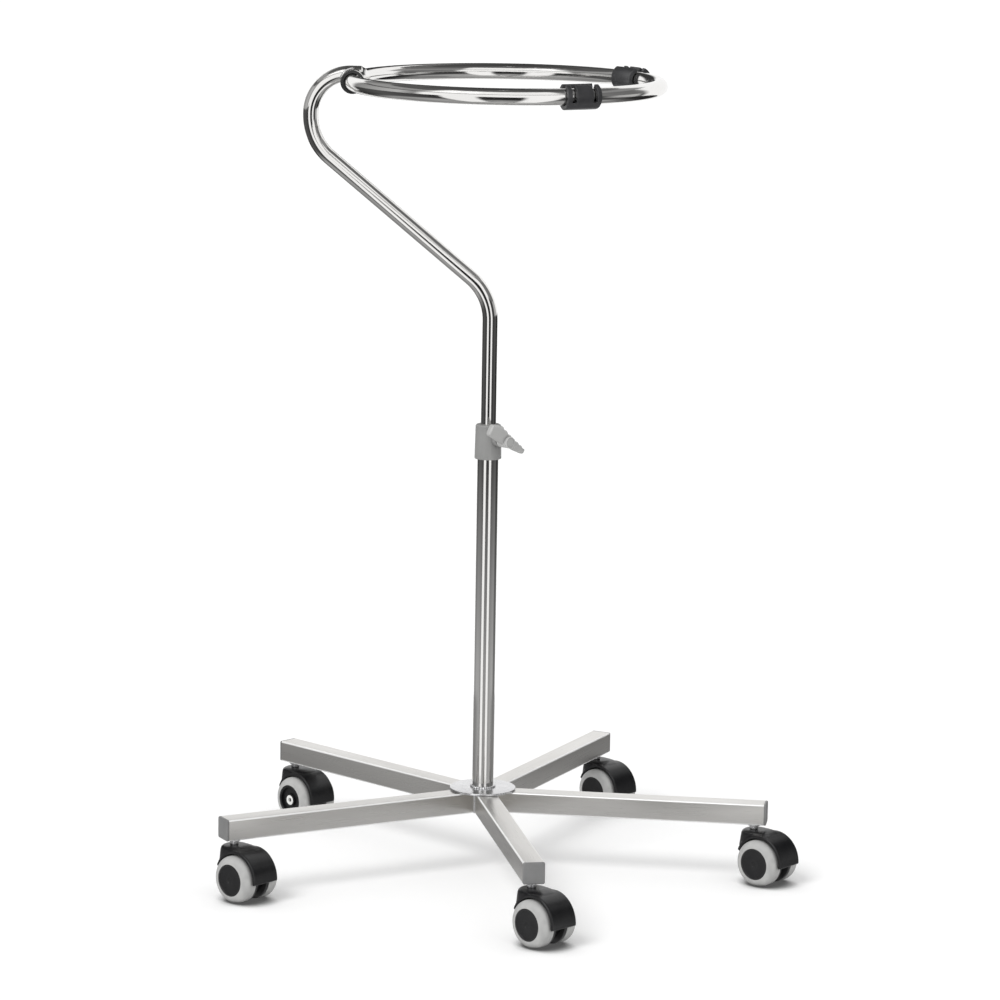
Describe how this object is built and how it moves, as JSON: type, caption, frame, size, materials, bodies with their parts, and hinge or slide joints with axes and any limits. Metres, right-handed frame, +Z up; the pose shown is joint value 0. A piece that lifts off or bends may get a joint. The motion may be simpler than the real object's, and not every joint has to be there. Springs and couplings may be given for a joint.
{
  "type": "mobile basin stand",
  "caption": "Mobile basin stand: a basin ring on a cranked mast that slides and swivels in a clamped column, on a star base with hooded twin-wheel castors",
  "frame": {"origin": "on the floor, under the column's axis", "axes": "+Z up along the column, -Y towards the picture's camera, +X to its right"},
  "size_m": [0.678, 0.6802, 0.947],
  "materials": {
    "polished_steel": "polished stainless tube",
    "brushed_steel": "satin brushed along the leg",
    "zinc": "bright zinc plate",
    "grey_plastic": "satin moulded",
    "black_plastic": "semi-gloss moulded",
    "grey_tread": "soft non-marking tread",
    "clip_plastic": "satin moulded",
    "nylon": "natural nylon"
  },
  "bodies": {
    "base": {"leg_right": "brushed_steel", "end_cap_right": "grey_plastic", "castor_right_stem": "zinc", "leg_rear_right": "brushed_steel", "end_cap_rear_right": "grey_plastic", "castor_rear_right_stem": "zinc", "leg_rear_left": "brushed_steel", "end_cap_rear_left": "grey_plastic", "castor_rear_left_stem": "zinc", "leg_left": "brushed_steel", "end_cap_left": "grey_plastic", "castor_left_stem": "zinc", "leg_front": "brushed_steel", "end_cap_front": "grey_plastic", "castor_front_stem": "zinc", "hub_plate": "polished_steel", "column": "polished_steel", "clamp_collar": "grey_plastic"},
    "guide": {"guide_bush": "nylon"},
    "mast": {"mast": "polished_steel", "ring_sleeve": "polished_steel", "ring_bush_front": "black_plastic", "ring_bush_rear": "black_plastic", "ring": "polished_steel", "clip_front": "clip_plastic", "clip_rear": "clip_plastic"},
    "clamp_pad": {"clamp_pad": "nylon"},
    "wing_screw": {"wing_handle": "grey_plastic", "clamp_screw": "zinc"},
    "castor_right": {"castor_right_hood": "black_plastic", "castor_right_axle": "zinc"},
    "castor_right_wheel_a": {"castor_right_hub_a": "black_plastic", "castor_right_tyre_a": "grey_tread"},
    "castor_right_wheel_b": {"castor_right_hub_b": "black_plastic", "castor_right_tyre_b": "grey_tread"},
    "castor_rear_right": {"castor_rear_right_hood": "black_plastic", "castor_rear_right_axle": "zinc"},
    "castor_rear_right_wheel_a": {"castor_rear_right_hub_a": "black_plastic", "castor_rear_right_tyre_a": "grey_tread"},
    "castor_rear_right_wheel_b": {"castor_rear_right_hub_b": "black_plastic", "castor_rear_right_tyre_b": "grey_tread"},
    "castor_rear_left": {"castor_rear_left_hood": "black_plastic", "castor_rear_left_axle": "zinc"},
    "castor_rear_left_wheel_a": {"castor_rear_left_hub_a": "black_plastic", "castor_rear_left_tyre_a": "grey_tread"},
    "castor_rear_left_wheel_b": {"castor_rear_left_hub_b": "black_plastic", "castor_rear_left_tyre_b": "grey_tread"},
    "castor_left": {"castor_left_hood": "black_plastic", "castor_left_axle": "zinc"},
    "castor_left_wheel_a": {"castor_left_hub_a": "black_plastic", "castor_left_tyre_a": "grey_tread"},
    "castor_left_wheel_b": {"castor_left_hub_b": "black_plastic", "castor_left_tyre_b": "grey_tread"},
    "castor_front": {"castor_front_hood": "black_plastic", "castor_front_axle": "zinc"},
    "castor_front_wheel_a": {"castor_front_hub_a": "black_plastic", "castor_front_tyre_a": "grey_tread"},
    "castor_front_wheel_b": {"castor_front_hub_b": "black_plastic", "castor_front_tyre_b": "grey_tread"}
  },
  "joints": [
    {"name": "mast_height", "type": "slide", "parent": "base", "child": "guide", "axis": [0, 0, 1], "range_m": [-0.115, 0.175]},
    {"name": "mast_swivel", "type": "hinge", "parent": "guide", "child": "mast", "pos_m": [0, 0, 0.4], "axis": [0, 0, 1], "continuous": true},
    {"name": "pad_feed", "type": "slide", "parent": "base", "child": "clamp_pad", "axis": [0.6691, -0.7431, 0], "range_m": [0, 0.0015]},
    {"name": "wing_turn", "type": "hinge", "parent": "clamp_pad", "child": "wing_screw", "pos_m": [0.02007, -0.02229, 0.5156], "axis": [0.6691, -0.7431, 0], "range_deg": [0, 433]},
    {"name": "castor_right_swivel", "type": "hinge", "parent": "base", "child": "castor_right", "pos_m": [0.32035, -0.04502, 0.05], "axis": [0, 0, 1], "continuous": true},
    {"name": "castor_right_wheel_a_spin", "type": "hinge", "parent": "castor_right", "child": "castor_right_wheel_a", "pos_m": [0.33621, -0.05833, 0.0275], "axis": [0.6428, 0.766, 0], "continuous": true},
    {"name": "castor_right_wheel_b_spin", "type": "hinge", "parent": "castor_right", "child": "castor_right_wheel_b", "pos_m": [0.33621, -0.05833, 0.0275], "axis": [0.6428, 0.766, 0], "continuous": true},
    {"name": "castor_rear_right_swivel", "type": "hinge", "parent": "base", "child": "castor_rear_right", "pos_m": [0.14181, 0.29076, 0.05], "axis": [0, 0, 1], "continuous": true},
    {"name": "castor_rear_right_wheel_a_spin", "type": "hinge", "parent": "castor_rear_right", "child": "castor_rear_right_wheel_a", "pos_m": [0.15645, 0.27612, 0.0275], "axis": [0.7071, 0.7071, 0], "continuous": true},
    {"name": "castor_rear_right_wheel_b_spin", "type": "hinge", "parent": "castor_rear_right", "child": "castor_rear_right_wheel_b", "pos_m": [0.15645, 0.27612, 0.0275], "axis": [0.7071, 0.7071, 0], "continuous": true},
    {"name": "castor_rear_left_swivel", "type": "hinge", "parent": "base", "child": "castor_rear_left", "pos_m": [-0.23271, 0.22472, 0.05], "axis": [0, 0, 1], "continuous": true},
    {"name": "castor_rear_left_wheel_a_spin", "type": "hinge", "parent": "castor_rear_left", "child": "castor_rear_left_wheel_a", "pos_m": [-0.21859, 0.20958, 0.0275], "axis": [0.7314, 0.682, 0], "continuous": true},
    {"name": "castor_rear_left_wheel_b_spin", "type": "hinge", "parent": "castor_rear_left", "child": "castor_rear_left_wheel_b", "pos_m": [-0.21859, 0.20958, 0.0275], "axis": [0.7314, 0.682, 0], "continuous": true},
    {"name": "castor_left_swivel", "type": "hinge", "parent": "base", "child": "castor_left", "pos_m": [-0.28563, -0.15187, 0.05], "axis": [0, 0, 1], "continuous": true},
    {"name": "castor_left_wheel_a_spin", "type": "hinge", "parent": "castor_left", "child": "castor_left_wheel_a", "pos_m": [-0.27049, -0.16599, 0.0275], "axis": [0.682, 0.7314, 0], "continuous": true},
    {"name": "castor_left_wheel_b_spin", "type": "hinge", "parent": "castor_left", "child": "castor_left_wheel_b", "pos_m": [-0.27049, -0.16599, 0.0275], "axis": [0.682, 0.7314, 0], "continuous": true},
    {"name": "castor_front_swivel", "type": "hinge", "parent": "base", "child": "castor_front", "pos_m": [0.05618, -0.31859, 0.05], "axis": [0, 0, 1], "continuous": true},
    {"name": "castor_front_wheel_a_spin", "type": "hinge", "parent": "castor_front", "child": "castor_front_wheel_a", "pos_m": [0.07056, -0.33348, 0.0275], "axis": [0.7193, 0.6947, 0], "continuous": true},
    {"name": "castor_front_wheel_b_spin", "type": "hinge", "parent": "castor_front", "child": "castor_front_wheel_b", "pos_m": [0.07056, -0.33348, 0.0275], "axis": [0.7193, 0.6947, 0], "continuous": true}
  ],
  "couplings": [
    {"joint": "wing_turn", "follows": "pad_feed", "rad_per_m": 5026.5}
  ]
}
